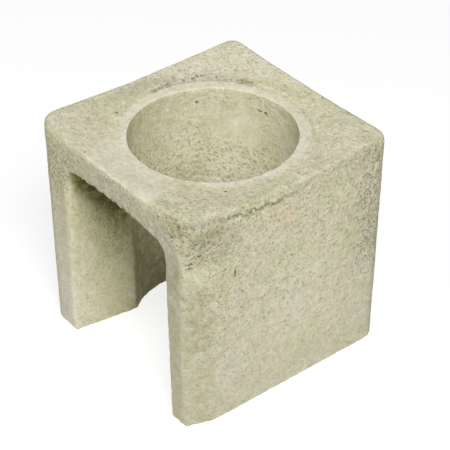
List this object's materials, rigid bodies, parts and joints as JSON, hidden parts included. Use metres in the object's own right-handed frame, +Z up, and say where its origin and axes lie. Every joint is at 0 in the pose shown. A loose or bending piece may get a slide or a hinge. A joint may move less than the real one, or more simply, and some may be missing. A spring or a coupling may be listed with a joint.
{
  "type": "chimney cleanout block",
  "caption": "Cast concrete chimney block with a round upright flue, a sunken seat ring on top and an arched, open-footed cleanout doorway in its front face.",
  "frame": {"origin": "middle of the foot, on the floor, on the axis of the flue", "axes": "+Z up along the flue, the doorway faces -Y, +X to the right of somebody who looks into the doorway"},
  "size_m": [0.305, 0.31, 0.3041],
  "materials": {
    "concrete": "matte, sandy and pitted pale yellow-grey cast concrete"
  },
  "bodies": {
    "root": {"cleanout_block": "concrete"}
  },
  "joints": []
}
